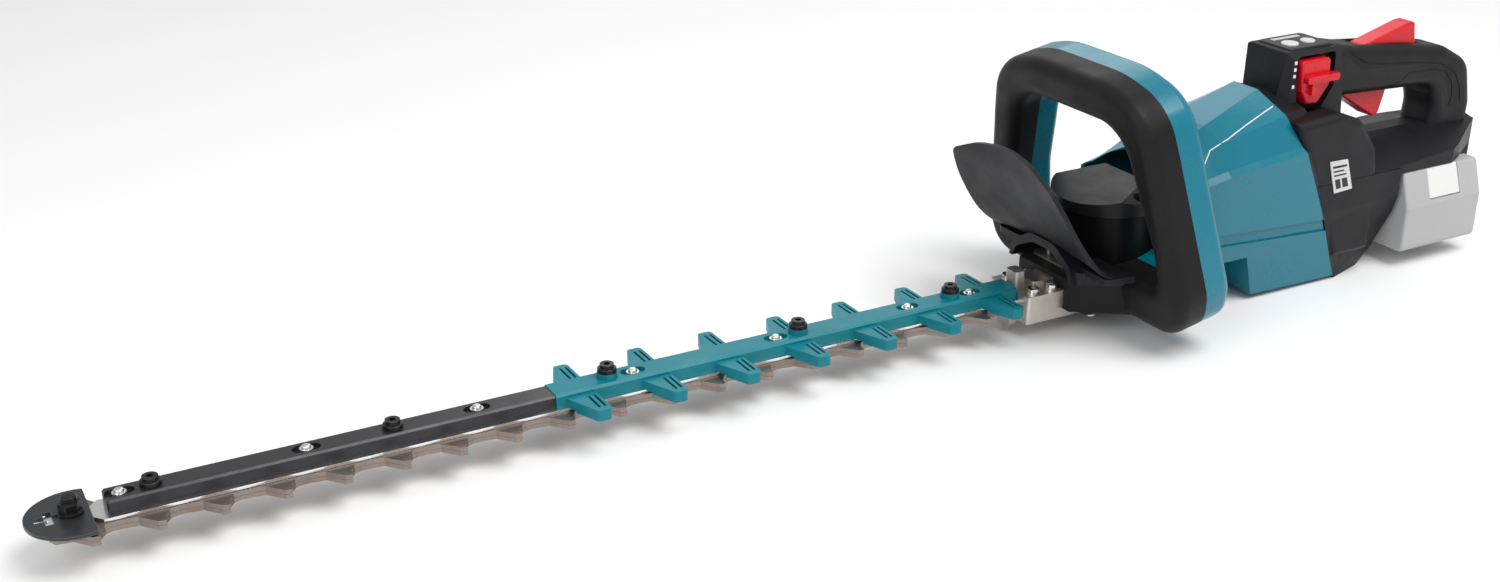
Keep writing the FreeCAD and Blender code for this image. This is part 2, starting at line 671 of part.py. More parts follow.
def motor_cover():
    """The cap over the motor: its top rises towards the rear in a shallow ridge."""
    x, half, rear = size("motor_x"), size("cover_half_width"), size("cover_rear_x")
    low, step = size("motor_case_top_z"), size("cover_step_z")
    front = x + half + 1
    solid = cover_envelope(0)
    side_profile = [(front, low - 1), (front, 93), (rear - 1, 104.5), (rear - 1, step + 5),
                    (x - half - 1, step + 5), (x - half - 1, low - 1)]
    solid = solid.common(prism(side_profile, "XZ", -half - 1, half + 1))
    roof = mirrored([(half + 1, low - 1), (half + 1, 95), (22, 104), (14, 108)])
    solid = solid.common(prism(roof, "YZ", x - half - 1, front))
    cavity = rod(size("fan_radius") + 2, (x, 0, low - 1), (x, 0, low + 2.6))
    solid = solid.cut(cavity)
    solid = solid.cut(rod(6, (x, 0, low), (x, 0, 91.6)))
    for sx, sy in COVER_SCREWS:
        solid = solid.cut(rod(4.2, (sx, sy, 92), (sx, sy, 120)))
        solid = solid.cut(rod(1.9, (sx, sy, 87), (sx, sy, 120)))
    feature("motor_cover", solid)
    screws = []
    for sx, sy in COVER_SCREWS:
        head = rod(3.9, (sx, sy, 92), (sx, sy, 95.4))
        head = head.cut(hexagon(2, (sx, sy), 93.4, 96))
        screws.append(fuse([head, rod(1.9, (sx, sy, 87), (sx, sy, 92.5))]))
    feature("cover_screws", group(screws))


COVER_SCREWS = [(size("motor_x") + 2, 35), (size("motor_x") + 2, -35)]


# ---------------------------------------------------------------- front loop handle

def loop_placement():
    rotation = FreeCAD.Rotation(Y_AXIS, size("loop_lean"))
    return FreeCAD.Placement(V(size("loop_origin_x"), 0, size("loop_origin_z")), rotation)


def loop_face_corners():
    """Outer and inner outlines of the loop in its own leaning plane, as (Y, height)."""
    top = size("loop_height")
    outer = mirrored([(103, 4, 24), (110, 34, 30), (89, 132, 120), (80, top - 12, 40),
                      (38, top, 90)])
    inner = mirrored([(84, 38, 9), (80, 70, 60), (55, 150, 30)])
    return outer, inner


def loop_ring(low, high, radius, level):
    """A slice of the loop between two depths, with one face's edges rounded."""
    outer, inner = loop_face_corners()
    solid = prism(outer, "YZ", low, high).cut(prism(inner, "YZ", low - 1, high + 1))
    return soften(solid, radius, on_level("X", level))


def place(shape, placement):
    moved = shape.copy()
    moved.Placement = placement
    return moved


def front_handle():
    """The black front half of the loop with its base block, and the back shell."""
    depth, back = size("loop_front_depth"), size("loop_back_depth")
    front = place(loop_ring(0, depth, 10.5, depth), loop_placement())
    nose, rear_x = size("base_front_x"), size("base_rear_x")
    nose_half, rear_half = size("base_front_half"), size("base_rear_half")
    base = prism([(rear_x, -rear_half), (nose, -nose_half, 3), (nose, nose_half, 3),
                  (rear_x, rear_half)], "XY", size("base_low_z"), size("base_top_z"))
    base = soften(base, 2, on_level("Z", size("base_top_z")))
    rear_limit = place(box((0, -140, -60), (200, 140, 260)), loop_placement())
    front = front.fuse(base.common(rear_limit)).removeSplitter()
    rear = place(loop_ring(-back, 0, 8, -back), loop_placement())
    recess = place(box((-back - 1, -46, 157.5), (-back + 7.5, 46, 169.5)), loop_placement())
    switch = place(box((-back + 7.7, -9, 159), (-0.2, 9, 168)), loop_placement())
    rear = rear.cut(recess).cut(switch)
    for tool in case_tools(size("running_gap")):
        front = front.cut(tool)
        rear = rear.cut(tool)
    feature("front_handle", front)
    feature("front_handle_back", rear)
    bar = prism([(-45, 158.2, 2), (45, 158.2, 2), (45, 168.8, 2), (-45, 168.8, 2)], "YZ",
                -back - 3.2, -back + 4)
    bar = soften(bar, 1.5, on_level("X", -back - 3.2))
    feature("front_switch_bar", place(bar, loop_placement()))
    feature("front_switch", switch)


def case_tools(gap):
    """The space that the gear case takes, grown by a gap."""
    half = size("case_half_width") + gap
    clamp = size("clamp_half_width") + gap
    rear, step = size("case_rear_x") - gap, size("case_step_x") + gap
    top, low = size("case_top_z") + gap, -5
    wide = box((rear, -half, low), (step, half, top))
    narrow = box((step - 5, -clamp, low), (-100, clamp, 33 + gap))
    ledge = box((-153, -10.3, 30), (-122, 10.3, 38 + gap))
    motor = rod(size("motor_case_radius") + gap, (size("motor_x"), 0, 40),
                (size("motor_x"), 0, 130))
    return wide, narrow, ledge, motor


def shield_section(level, middle_x, side_x, half):
    """One horizontal slice of the hand guard: a bowed band, as a closed wire."""
    wall = size("shield_wall")
    outer = Part.Arc(V(side_x, -half, level), V(middle_x, 0, level), V(side_x, half, level))
    inner = Part.Arc(V(side_x - wall, half - 0.6, level), V(middle_x - wall, 0, level),
                     V(side_x - wall, -half + 0.6, level))
    ends = [Part.LineSegment(outer.EndPoint, inner.StartPoint),
            Part.LineSegment(inner.EndPoint, outer.StartPoint)]
    return Part.Wire([outer.toShape(), ends[0].toShape(), inner.toShape(), ends[1].toShape()])


def hand_guard():
    """The scooped shield in front of the loop, its foot and the hood over the clamp."""
    base, gap = size("base_top_z") + 0.1, size("running_gap")
    levels = [(50, -172, -166, 62), (53, -156, -150, 62), (58, -146, -139, 63),
              (66, -136, -129, 64), (78, -125.5, -118.5, 65), (100, -111, -104, 65),
              (124, -98, -90, 66), (146, -93, -86, 68)]
    band = Part.makeLoft([shield_section(*level) for level in levels], True, False)
    top, foot_top = size("shield_top_z"), size("shield_foot_z")
    rim = mirrored([(62, 49), (64, 70, 60), (61, 108, 80), (55, 125, 12), (32, 135, 60),
                    (8, top, 60)])
    band = band.common(prism(rim, "YZ", -220, -50))
    nose, rear = size("base_front_x"), size("base_rear_x")
    hood, wide = size("hood_half_width"), size("base_rear_half") + 2
    foot = prism([(rear, -wide), (nose + 1, -hood, 8), (nose + 1, hood, 8), (rear, wide)],
                 "XY", base, foot_top - 3)
    flange = prism([(rear, -wide - 4), (nose - 4, -wide + 4, 5), (nose - 4, wide - 4, 5),
                    (rear, wide + 4)], "XY", foot_top - 4.5, foot_top)
    arch = mirrored([(hood, base), (hood - 3, foot_top, 10), (14, size("hood_top_z"), 16)])
    skirt = prism(arch, "YZ", nose - 16, nose + 5)
    shield = fuse([band, foot, flange, skirt])
    shield = shield.common(place(box((size("loop_front_depth") + gap, -140, -60),
                                     (200, 140, 260)), loop_placement()))
    opening = mirrored([(hood - 4, base - 1), (hood - 4, 43.6), (hood - 8, 51, 10),
                        (10, 60, 14)])
    shield = shield.cut(prism(opening, "YZ", rear, nose + 10))
    for tool in case_tools(gap):
        shield = shield.cut(tool)
    shield = shield.cut(rod(size("cover_half_width") + gap,
                            (size("motor_x"), 0, size("motor_case_top_z") - 1),
                            (size("motor_x"), 0, 121)))
    return feature("hand_guard", shield.removeSplitter())


# ---------------------------------------------------------------- front housing

def seam_x(level, behind=0.0):
    """X of the swivel plane at a height, shifted along its normal."""
    tilt = math.radians(size("seam_tilt"))
    shift = behind / math.cos(tilt)
    return size("seam_x") + (level - size("seam_z")) * math.tan(tilt) - shift


def seam_placement(behind=0.0):
    """A frame whose Z runs along the swivel axis, backwards and up."""
    tilt = math.radians(size("seam_tilt"))
    normal = V(-math.cos(tilt), 0, math.sin(tilt))
    origin = V(size("seam_x"), 0, size("seam_z")) + normal * behind
    return FreeCAD.Placement(origin, FreeCAD.Rotation(Y_AXIS, size("seam_tilt") - 90))


def seam_side(behind, rearward):
    """Everything on one side of a plane parallel to the swivel plane."""
    reach = 900
    low, high = (0, reach) if rearward else (-reach, 0)
    block = box((-reach, -reach, low), (reach, reach, high))
    return place(block, seam_placement(behind))


def body_section(points, inset, x_of):
    """A closed cross-section from half-outline points, each moved inwards."""
    half = []
    lowest, highest = points[0][1], points[-1][1]
    for y, z in points:
        half.append((y - inset, min(max(z, lowest + inset), highest - inset)))
    corners = [V(x_of(z), y, z) for y, z in half]
    corners += [V(x_of(z), -y, z) for y, z in reversed(half)]
    return Part.makePolygon(corners + [corners[0]])


SEAM_HALF = [(45, 3), (48, 34), (50, 50), (50.5, 66), (50.5, 84), (50, 112), (46, 116),
             (36.5, 139), (12, 153.5)]
WAIST_HALF = [(44.5, 5), (47.5, 34), (49.5, 48), (50.5, 62), (50.5, 78), (50, 105), (46, 109),
              (37, 127), (17, 135)]
NOSE_HALF = [(44, 8), (47, 34), (48, 46), (50, 58), (50, 72), (48.5, 95), (44, 98),
             (32, 104), (14, 107)]


def front_body(inset, nose_x, behind):
    """The front housing's outer form, lofted from its nose to the swivel plane."""
    nose = body_section(NOSE_HALF, inset, lambda z: nose_x)
    waist = body_section(WAIST_HALF, inset, lambda z: size("waist_x"))
    seam = body_section(SEAM_HALF, inset, lambda z: seam_x(z, behind))
    return Part.makeLoft([nose, waist, seam], True, True)


def front_housing():
    """The two shells of the front housing, split on the middle plane."""
    wall, gap = size("shell_wall"), size("running_gap")
    seam_face = -size("seam_gap") / 2
    outer = front_body(0, -206.5, seam_face)
    undercut = [(-307, -12), (-289, 38), (-200, 38), (-200, -12)]
    outer = outer.cut(prism(undercut, "XZ", -80, 80))
    inner = front_body(wall, -205, seam_face - wall)
    floor = [(-314, -20), (-290, 42), (-190, 42), (-190, -20)]
    inner = inner.cut(prism(floor, "XZ", -80, 80))
    shell = outer.cut(inner)
    shell = shell.cut(cover_envelope(gap))
    for tool in case_tools(gap):
        shell = shell.cut(tool)
    shell = shell.cut(loop_envelope(gap))
    bore = place(rod(size("spigot_radius") + 0.08, (0, 0, -20), (0, 0, 20)), seam_placement())
    shell = shell.cut(bore)
    band = prism([(-256, 52, 2), (-400, 43), (-400, 52.5), (-256, 61.5, 2)], "XZ", -80, 80)
    shell = shell.cut(band.cut(front_body(1.8, -206, seam_face)))
    left, right = halves(shell)
    for x, z in FRONT_SCREWS:
        right = right.cut(rod(4, (x, -80, z), (x, -46, z)))
    feature("front_housing_left", left)
    feature("front_housing_right", right)
    screws = []
    for x, z in FRONT_SCREWS:
        head = rod(3.6, (x, -49.5, z), (x, -46.5, z))
        screws.append(head.cut(rod(1.6, (x, -50, z), (x, -48, z))))
    feature("front_housing_screws", group(screws))


FRONT_SCREWS = [(-236, 72), (-262, 98), (-322, 108), (-350, 28), (-308, 28)]


def loop_envelope(gap):
    """The space that the loop takes, grown by a gap; the housing's nose passes inside it."""
    reach = 140
    space = box((-size("loop_back_depth") - gap, -reach, -60),
                (size("loop_front_depth") + gap, reach, 260))
    opening = [(y + (gap if y < 0 else -gap), z + (gap if z < 100 else -gap), radius)
               for y, z, radius in loop_face_corners()[1]]
    return place(space.cut(prism(opening, "YZ", -reach, reach)), loop_placement())


def swivel():
    """The hollow spigot that the rear handle turns on, and the notched index ring."""
    radius, bore = size("spigot_radius"), size("spigot_bore")
    wall, gap = size("shell_wall"), size("seam_gap")
    front = -gap / 2 - wall - 0.3
    tube_part = ring(radius, bore, (0, 0, front - size("flange_thickness")), (0, 0, 9))
    flange = ring(size("flange_radius"), bore, (0, 0, front - size("flange_thickness")),
                  (0, 0, front))
    lip = ring(size("flange_radius"), bore, (0, 0, gap / 2 + wall + 0.1), (0, 0, 9))
    feature("swivel_spigot", place(fuse([tube_part, flange, lip]), seam_placement()))
    outer, inner = size("ring_outer"), size("ring_inner")
    low = front - 0.2
    index_ring = ring(outer, inner, (0, 0, low - size("ring_thickness")), (0, 0, low))
    for angle in (-90, -45, 0, 45, 90):
        notch = box((inner - 1, -3, low - 5), (inner + 3, 3, low + 1))
        notch.rotate(V(0, 0, 0), V(0, 0, 1), angle + 180)
        index_ring = index_ring.cut(notch)
    feature("swivel_index_ring", place(index_ring, seam_placement()))


# ---------------------------------------------------------------- rear handle

def upper_block(inset):
    """The block above the swivel, with a bevelled prow."""
    z_low, z_top = 118 + inset, 180 - inset
    half = size("block_half_width") - inset
    profile = [(-329 - inset, z_low), (-331 - inset, 150), (-334.5 - inset, z_top, 3),
               (-386, z_top - 1, 3), (-394 + inset, 140), (-396 + inset, z_low)]
    solid = prism(profile, "XZ", -half, half)
    plan = mirrored_plan([(-328 - inset, 15 - inset / 2), (-338 - inset, half),
                          (-398, half - 1)])
    solid = solid.common(prism(plan, "XY", z_low - 1, z_top + 1))
    roof = mirrored([(half + 1, z_low - 1), (half + 1, z_top - 5), (half - 5, z_top)])
    return solid.common(prism(roof, "YZ", -420, -300))


def mirrored_plan(half):
    """A closed plan outline from its left half, given as (X, Y) from front to rear."""
    return list(half) + [(x, -y) for x, y in reversed(half)]


def side_bulge(inset):
    """The wide lower body behind the swivel plane."""
    profile = [(seam_x(20) , 20 + inset), (seam_x(134), 134 - inset), (-368, 136 - inset, 12),
               (-392, 128 - inset, 10), (-411 + inset, 104, 10), (-416 + inset, 84),
               (-418 + inset, 20 + inset)]
    return slab(profile, size("bulge_half_width") - inset, 6 if inset == 0 else 3)


def collar(inset):
    """The flange that continues the front housing's outline behind the swivel plane."""
    gap = size("seam_gap") / 2
    first = body_section(SEAM_HALF, 0.8 + inset, lambda z: seam_x(z, gap))
    second = body_section(SEAM_HALF, 6 + inset, lambda z: seam_x(z, gap + 22))
    return Part.makeLoft([first, second], True, True)


FOOT_FRONT = [(43.6, -2), (46.4, 20), (48.8, 42), (49.6, 60), (49.6, 82)]
FOOT_REAR = [(27.6, -2), (33, 18), (46, 46), (49.4, 60), (49.4, 82)]


def foot(inset):
    """The lower body, flat underneath, narrower at the bottom towards the battery."""
    gap = size("seam_gap") / 2
    rear = -441 + inset
    front = body_section(FOOT_FRONT, inset, lambda z: seam_x(z, gap))
    back = body_section(FOOT_REAR, inset, lambda z: rear)
    solid = Part.makeLoft([front, back], True, True)
    side = prism([(-330, inset), (-424, inset), (rear, 14 + inset), (rear, 82), (-330, 82)],
                 "XZ", -80, 80)
    return solid.common(side)


def deck(inset):
    """The arm over the battery: its sides grow taller and then close in towards the rear."""
    half, low = size("deck_half_width") - inset, size("deck_low_z") + inset
    rear = size("rear_end_x") + inset
    ridge = [(14, 97 - inset), (7, 99 - inset)]
    front = body_section([(half, low), (half, 80 - inset)] + ridge, 0, lambda z: -400)
    back = body_section([(half, low), (half, 93 - inset)] + ridge, 0, lambda z: rear)
    solid = Part.makeLoft([front, back], True, True)
    plan = mirrored_plan([(-399, half + 1), (-497, half + 1), (-511, half - 5),
                          (rear, 17)])
    solid = solid.common(prism(plan, "XY", low - 1, 120))
    rear_lip = prism([(-534, low, 2), (rear, low, 2), (rear, 62 + inset, 4),
                      (-540, 62 + inset, 4)], "XZ", -17, 17)
    return solid.fuse(rear_lip) if inset == 0 else solid


def handle_profile(inset):
    """The D-handle's outer and inner outlines in side view."""
    rear = size("rear_end_x") + 6 + inset
    outer = [(-380, 84 + inset), (-380, 180 - inset), (-412, 173.5 - inset, 40),
             (-470, 168 - inset, 60), (-512, 161 - inset, 30), (-541, 146 - inset, 22),
             (rear, 112, 20), (rear + 1, 84 + inset)]
    inner = [(-398 + inset, 136 + inset, 4), (-500 - inset, 131 + inset, 12),
             (-507 - inset, 112, 20), (-505 - inset, 92 - inset, 6),
             (-420 + inset, 92 - inset, 8), (-398 + inset, 112, 8)]
    return outer, inner


def grip(inset):
    """The D-handle: the grip on top and the post behind it."""
    outer, inner = handle_profile(inset)
    half = size("grip_half_width") - inset
    solid = prism(outer, "XZ", -half, half).cut(prism(inner, "XZ", -half - 1, half + 1))
    radius = 8.5 if inset == 0 else 6
    for level in (-half, half):
        on_face = on_level("Y", level)
        solid = soften(solid, radius, lambda e: on_face(e) and e.CenterOfMass.x < -381
                       and e.CenterOfMass.z > 90)
    return solid


def rear_body():
    """The rear handle's whole outer form."""
    solid = fuse([collar(0), upper_block(0), side_bulge(0), foot(0), deck(0), grip(0)])
    opening = [(-416, 100, 6), (-503, 100, 8), (-503, 131, 8), (-398, 136, 6), (-398, 128, 6)]
    solid = solid.cut(prism(opening, "XZ", -60, 60))
    return solid.common(seam_side(size("seam_gap") / 2, True))


def rear_hollow():
    """The space inside the rear shells."""
    wall = size("shell_wall")
    pieces = [collar(wall), side_bulge(wall), foot(wall),
              box((-380, -13, 122), (-342, 13, 171)), grip_channel()]
    return fuse(pieces).common(seam_side(size("seam_gap") / 2 + wall, True))


def grip_channel():
    """The channel along the grip for the trigger, the switch and the lock-off lever."""
    profile = [(-380, 141), (-380, 164), (-412, 164), (-492, 158), (-498, 150), (-498, 141)]
    return prism(profile, "XZ", -11, 11)


def skin_region():
    """Where the soft skin covers the grip: its top and its back."""
    profile = [(-398, 190), (-404, 165), (-418, 155, 10), (-505, 150, 12), (-520, 120, 20),
               (-524, 100, 4), (-570, 100), (-570, 190)]
    return prism(profile, "XZ", -60, 60)


LEVER_RECESS = [(-342, 176.5, 3), (-345.5, 142, 4), (-355, 128.5, 4), (-369, 128.5, 4),
                (-383, 150, 3), (-381, 176.5, 3)]


def rear_housing():
    """The two rear shells, the soft skin on the grip and the shells' screws."""
    body = rear_body()
    skin = grip(0).cut(grip(size("skin_thickness"))).common(skin_region())
    half = size("block_half_width")
    recess = prism(LEVER_RECESS, "XZ", half - 7, half + 6)
    panel_seat = box((-384, -17, 177.5), (-340, 17, 190))
    trigger_slot = box((-467, -8.4, 120), (-398, 8.4, 145))
    lever_slot = box((-490, -8.4, 155), (-420, 8.4, 180))
    shell = body.cut(rear_hollow())
    for tool in (recess, panel_seat, trigger_slot, lever_slot):
        shell = shell.cut(tool)
        skin = skin.cut(tool)
    shell = shell.cut(skin)
    shell = shell.cut(place(rod(size("spigot_radius"), (0, 0, -5), (0, 0, 12)),
                            seam_placement()))
    shell = shell.cut(place(rod(size("flange_radius") + 0.1, (0, 0, 3.4), (0, 0, 12)),
                            seam_placement()))
    shell = shell.fuse(battery_rails()).removeSplitter()
    shell = shell.cut(box((-514, -31, 76), (-458, 11, 86)))
    shell = shell.cut(rod(size("pivot_pin_radius"), (size("trigger_pivot_x"), -13.5,
                                                     size("trigger_pivot_z")),
                          (size("trigger_pivot_x"), 13.5, size("trigger_pivot_z"))))
    shell = shell.cut(rod(size("pivot_pin_radius"), (size("lockoff_pivot_x"), -13.5,
                                                     size("lockoff_pivot_z")),
                          (size("lockoff_pivot_x"), 13.5, size("lockoff_pivot_z"))))
    left, right = halves(shell)
    screws = []
    for x, y, z in REAR_SCREWS:
        right = right.cut(rod(3.8, (x, -y - 10, z), (x, -y + 2.5, z)))
        head = rod(3.5, (x, -y - 0.2, z), (x, -y + 2.5, z))
        screws.append(head.cut(rod(1.6, (x, -y - 1, z), (x, -y + 1, z))))
    feature("rear_housing_left", left)
    feature("rear_housing_right", right)
    feature("grip_skin", skin)
    feature("rear_housing_screws", group(screws))


REAR_SCREWS = [(-352, 23.5, 164), (-400, 44, 100), (-396, 44, 30), (-380, 44, 70),
               (-452, 18, 146.6)]


def battery_rails():
    """Two hooked rails under the deck that hold the battery's head."""
    middle = (size("pack_front_x") + size("pack_rear_x")) / 2
    rails = []
    for side in (-1, 1):
        profile = [(middle + side * 33, size("deck_low_z") + 1), (middle + side * 37,
                                                                  size("deck_low_z") + 1),
                   (middle + side * 37, 64.6), (middle + side * 29, 64.6),
                   (middle + side * 29, 68.8), (middle + side * 33, 68.8)]
        rails.append(prism(profile, "XZ", -36, 35.5))
    return fuse(rails)


def controls():
    """The lock lever, the panel with its buttons and lamp, the trigger and its lock."""
    half = size("block_half_width")
    pad = prism([(-344, 173.5, 3), (-347, 150, 2), (-353, 140, 2), (-364, 139, 3),
                 (-375, 153, 3), (-373, 173.5, 3)], "XZ", half - 6.6, half + 3)
    pad = soften(pad, 1.6, on_level("Y", half + 3))
    tab = prism([(-347, 162.5, 2), (-347, 157, 2), (-379, 157, 2), (-379, 162.5, 2)],
                "XZ", half + 2, half + 8)
    post = prism([(-354, 160, 2), (-354, 147, 2), (-360, 147, 2), (-360, 160, 2)], "XZ",
                 half + 1, half + 6)
    feature("swivel_lock_lever", fuse([pad, tab, post]))
    panel = prism([(-383.8, -16.8, 4), (-340.2, -16.8, 4), (-340.2, 16.8, 4),
                   (-383.8, 16.8, 4)], "XY", 177.6, 181.2)
    panel = soften(panel, 1.2, on_level("Z", 181.2))
    buttons = {"power_button": (-351, 6.5), "speed_button": (-369, 5.5)}
    for x, radius in buttons.values():
        panel = panel.cut(rod(radius + 0.3, (x, 5, 177), (x, 5, 190)))
    panel = panel.cut(box((-375, -12, 180), (-347, -7.5, 190)))
    feature("control_panel", panel)
    for label, (x, radius) in buttons.items():
        cap = rod(radius, (x, 5, 178.9), (x, 5, 182.6))
        feature(label, soften(cap, 0.8, on_level("Z", 182.6)))
    feature("indicator_lens", box((-374.7, -11.7, 180), (-347.3, -7.8, 181.5)))
    px, pz = size("trigger_pivot_x"), size("trigger_pivot_z")
    wide = size("trigger_half_width")
    trigger = prism([(px + 4, pz + 4, 3), (px + 4, 137, 3), (-415, 131, 4), (-448, 111.5, 3),
                     (-454, 113, 3), (-460, 136, 2), (-457, 143, 3), (-418, 143, 3),
                     (px - 4, pz + 4, 3)], "XZ", -wide, wide)
    for level in (-wide, wide):
        trigger = soften(trigger, 1.6, on_level("Y", level))
    trigger = trigger.cut(rod(size("pivot_pin_radius") + 0.05, (px, -20, pz), (px, 20, pz)))
    feature("trigger", trigger)
    lx, lz = size("lockoff_pivot_x"), size("lockoff_pivot_z")
    lever = prism([(lx + 4, lz - 3.5, 2), (lx + 4, lz + 4, 2), (lx - 2, 171, 3),
                   (-473, 182.5, 4), (-481, 183, 2.5), (-485, 163, 2), (-478, 160, 2),
                   (lx - 4, lz - 3.5, 2)], "XZ", -7.8, 7.8)
    for level in (-7.8, 7.8):
        lever = soften(lever, 1.6, on_level("Y", level))
    lever = lever.cut(rod(size("pivot_pin_radius") + 0.05, (lx, -20, lz), (lx, 20, lz)))
    feature("lock_off_lever", lever)
    for label, x, z in (("trigger_pin", px, pz), ("lock_off_pin", lx, lz)):
        pin = doc.addObject("Part::Cylinder", label)
        pin.setExpression("Radius", "Sizes.pivot_pin_radius")
        pin.Height = 27
        pin.Placement = FreeCAD.Placement(V(x, 13.5, z), FreeCAD.Rotation(V(1, 0, 0), 90))
        keep(pin, label)
    feature("main_switch", box((-404, -9, 152), (-384, 9, 163)))
    feature("controller", box((-404, -30, 60), (-372, 30, 106)))
    terminal = box((-513.8, -30.8, 71.5), (-458.2, 10.8, 85.8))
    feature("terminal_block", terminal)


def battery():
    """The pack: body, railed head with a contact channel, end cap and release button."""
    front, rear = size("pack_front_x"), size("pack_rear_x")
    half, low = size("pack_half_length"), size("pack_low_z")
    shoulder, top = size("pack_body_z"), size("pack_top_z")
    middle = (front + rear) / 2
    end = [(-half, low, 5), (half, low, 5), (half, 50, 3), (half - 9, top, 3),
           (37, top), (37, shoulder), (-half, shoulder, 4)]
    body = prism(end, "YZ", rear, front)
    body = soften(body, 2.5, on_level("X", front))
    body = soften(body, 2.5, on_level("X", rear))
    neck = box((middle - 28, -half + 3, shoulder - 0.5), (middle + 28, 38, 70))
    head = box((middle - 32, -half + 3, 69.4), (middle + 32, 38, top))
    solid = fuse([body, neck, head])
    solid = solid.cut(box((-515, -half - 1, 70), (-457, 12, top + 1)))
    seat = prism([(half - 20, 53), (half + 2, 53), (half + 2, top + 2), (half - 20, top + 2)],
                 "YZ", middle - 18, middle + 16)
    feature("battery_case", solid.cut(seat))
    button = prism([(half - 15.7, 53.4, 1), (half - 1.6, 53.4, 1), (half - 9.6, top - 0.4, 1),
                    (half - 15.7, top - 0.4, 1)], "YZ", middle - 17.6, middle + 15.6)
    feature("battery_button", button)


# ---------------------------------------------------------------- build, check and write

def build():
    blade("lower_blade", "lower_blade_z")
    blade("upper_blade", "upper_blade_z")
    guide_strip()
    guide_bar()
    tooth_guard()
    cutter_fasteners()
    tip_plate()
    gear_case()
    case_cover()
    case_screws()
    drive()
    motor_parts()
    motor_cover()
    front_handle()
    hand_guard()
    front_housing()
    swivel()
    rear_housing()
    controls()
    battery()
    doc.recompute()


def write():
    for item in doc.Objects:
        if "Invalid" in item.State or "Error" in item.State:
            raise RuntimeError("failed object: " + item.Name)
    os.makedirs("parts", exist_ok=True)
    for item in nodes:
        shape = item.Shape
        if shape.isNull() or not shape.isValid():
            raise RuntimeError("bad shape: " + item.Label)
        bound = shape.BoundBox
        print("%-22s solids %2d volume %9.0f  X %7.1f %7.1f  Y %6.1f %6.1f  Z %6.1f %6.1f" % (
            item.Label, len(shape.Solids), shape.Volume, bound.XMin, bound.XMax, bound.YMin,
            bound.YMax, bound.ZMin, bound.ZMax))
        shape.exportStep("parts/%s.step" % item.Label)


build()
write()
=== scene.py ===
"""Cordless hedge trimmer: materials, detailed pieces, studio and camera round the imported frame."""

import json
import math

import bmesh
import bpy
from mathutils import Matrix, Vector


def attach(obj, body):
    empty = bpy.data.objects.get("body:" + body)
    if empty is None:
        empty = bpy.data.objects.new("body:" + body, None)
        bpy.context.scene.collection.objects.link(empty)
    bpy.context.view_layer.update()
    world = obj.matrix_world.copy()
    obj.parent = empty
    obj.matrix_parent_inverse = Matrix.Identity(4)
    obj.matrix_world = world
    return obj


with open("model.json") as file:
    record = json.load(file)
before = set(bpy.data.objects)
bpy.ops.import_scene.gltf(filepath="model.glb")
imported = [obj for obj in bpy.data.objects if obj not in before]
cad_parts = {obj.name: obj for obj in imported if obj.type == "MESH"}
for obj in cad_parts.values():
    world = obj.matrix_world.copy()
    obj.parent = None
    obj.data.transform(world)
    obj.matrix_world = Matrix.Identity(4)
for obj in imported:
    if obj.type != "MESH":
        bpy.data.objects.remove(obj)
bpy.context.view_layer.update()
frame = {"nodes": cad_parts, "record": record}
NODES = frame["nodes"]
MM = 0.001
SIDES = ((1, "left"), (-1, "right"))


# ------------------------------------------------------------------ material helpers

SCUFF_RADIUS = 1.2 * MM
COAT_ROUGHNESS = 0.12
RUBBER_SHEEN = 0.03
SCUFF_COLOR = (0.32, 0.31, 0.3)
CASTING_STAIN = (0.42, 0.36, 0.31)
ZINC_BLOOM = (0.55, 0.53, 0.47)


def shifted(color, factor, lift=0.0):
    """A colour multiplied by a factor and raised by a lift, held at white."""
    return tuple(min(1, channel * factor + lift) for channel in color)


